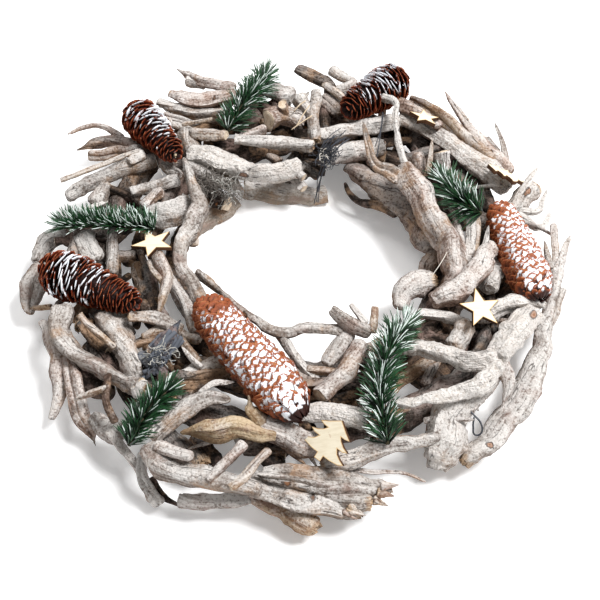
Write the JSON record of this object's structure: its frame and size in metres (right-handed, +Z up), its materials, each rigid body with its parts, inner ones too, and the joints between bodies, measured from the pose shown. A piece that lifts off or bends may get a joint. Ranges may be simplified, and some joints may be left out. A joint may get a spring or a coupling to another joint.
{
  "type": "wooden advent wreath",
  "caption": "Ring wreath of bleached driftwood round an open middle, set with snowy conifer cones, fir sprigs and small plywood stars and trees; lies flat on a table.",
  "frame": {"origin": "middle of the outline, on the surface that the wreath lies on", "axes": "+Z up, through the wreath; -Y to the front, where the long snowy cone and the small plywood tree lie; +X to the right"},
  "size_m": [0.4039, 0.4098, 0.0809],
  "materials": {
    "driftwood": "whitewashed, rough",
    "dark_wood": "rough bark",
    "peeled_rod": "smooth weathered",
    "cone": "dry scales with white snow paint",
    "fir": "satin needles with snowed tips",
    "plywood": "sanded face, laser-burnt edge",
    "wire": "dull dark lacquer"
  },
  "bodies": {
    "root": {"front_elbow_branch": "driftwood", "front_low_slab": "driftwood", "front_big_log": "driftwood", "front_tan_driftwood": "driftwood", "front_pink_log": "driftwood", "front_right_log": "driftwood", "front_inner_log": "driftwood", "hole_front_arc": "driftwood", "front_crossed_branches": "driftwood", "hole_right_stump": "driftwood", "right_forked_root": "driftwood", "right_trunk": "driftwood", "right_outer_bow": "driftwood", "right_fat_branch": "driftwood", "right_inner_twigs": "driftwood", "right_inner_trunk": "driftwood", "right_dark_wall": "driftwood", "back_right_branch": "driftwood", "back_right_bark_branch": "driftwood", "right_top_stub": "driftwood", "back_log": "driftwood", "back_low_log": "driftwood", "back_peeled_stick": "driftwood", "back_arch_branch": "driftwood", "back_left_bundle": "driftwood", "back_left_block": "driftwood", "back_stub_log": "driftwood", "back_bark_log": "driftwood", "left_bark_arc": "driftwood", "left_tan_branch": "driftwood", "left_knotty_branch": "driftwood", "hole_left_branch": "driftwood", "left_outer_branch": "driftwood", "left_inner_branches": "driftwood", "left_long_branch": "driftwood", "left_broad_branch": "driftwood", "front_left_log": "driftwood", "front_left_branch": "driftwood", "front_left_twigs": "driftwood", "under_wood_1": "dark_wood", "under_wood_2": "dark_wood", "under_wood_3": "dark_wood", "under_wood_4": "dark_wood", "base_ring": "peeled_rod", "left_cone": "cone", "back_left_cone": "cone", "back_right_cone": "cone", "right_cone": "cone", "front_cone": "cone", "left_sprig": "fir", "back_sprig": "fir", "right_sprig": "fir", "front_right_sprig": "fir", "front_left_sprig": "fir", "left_star": "plywood", "back_star": "plywood", "right_star": "plywood", "front_tree": "plywood", "back_tree": "plywood", "binding_wire_loop": "wire"}
  },
  "joints": []
}
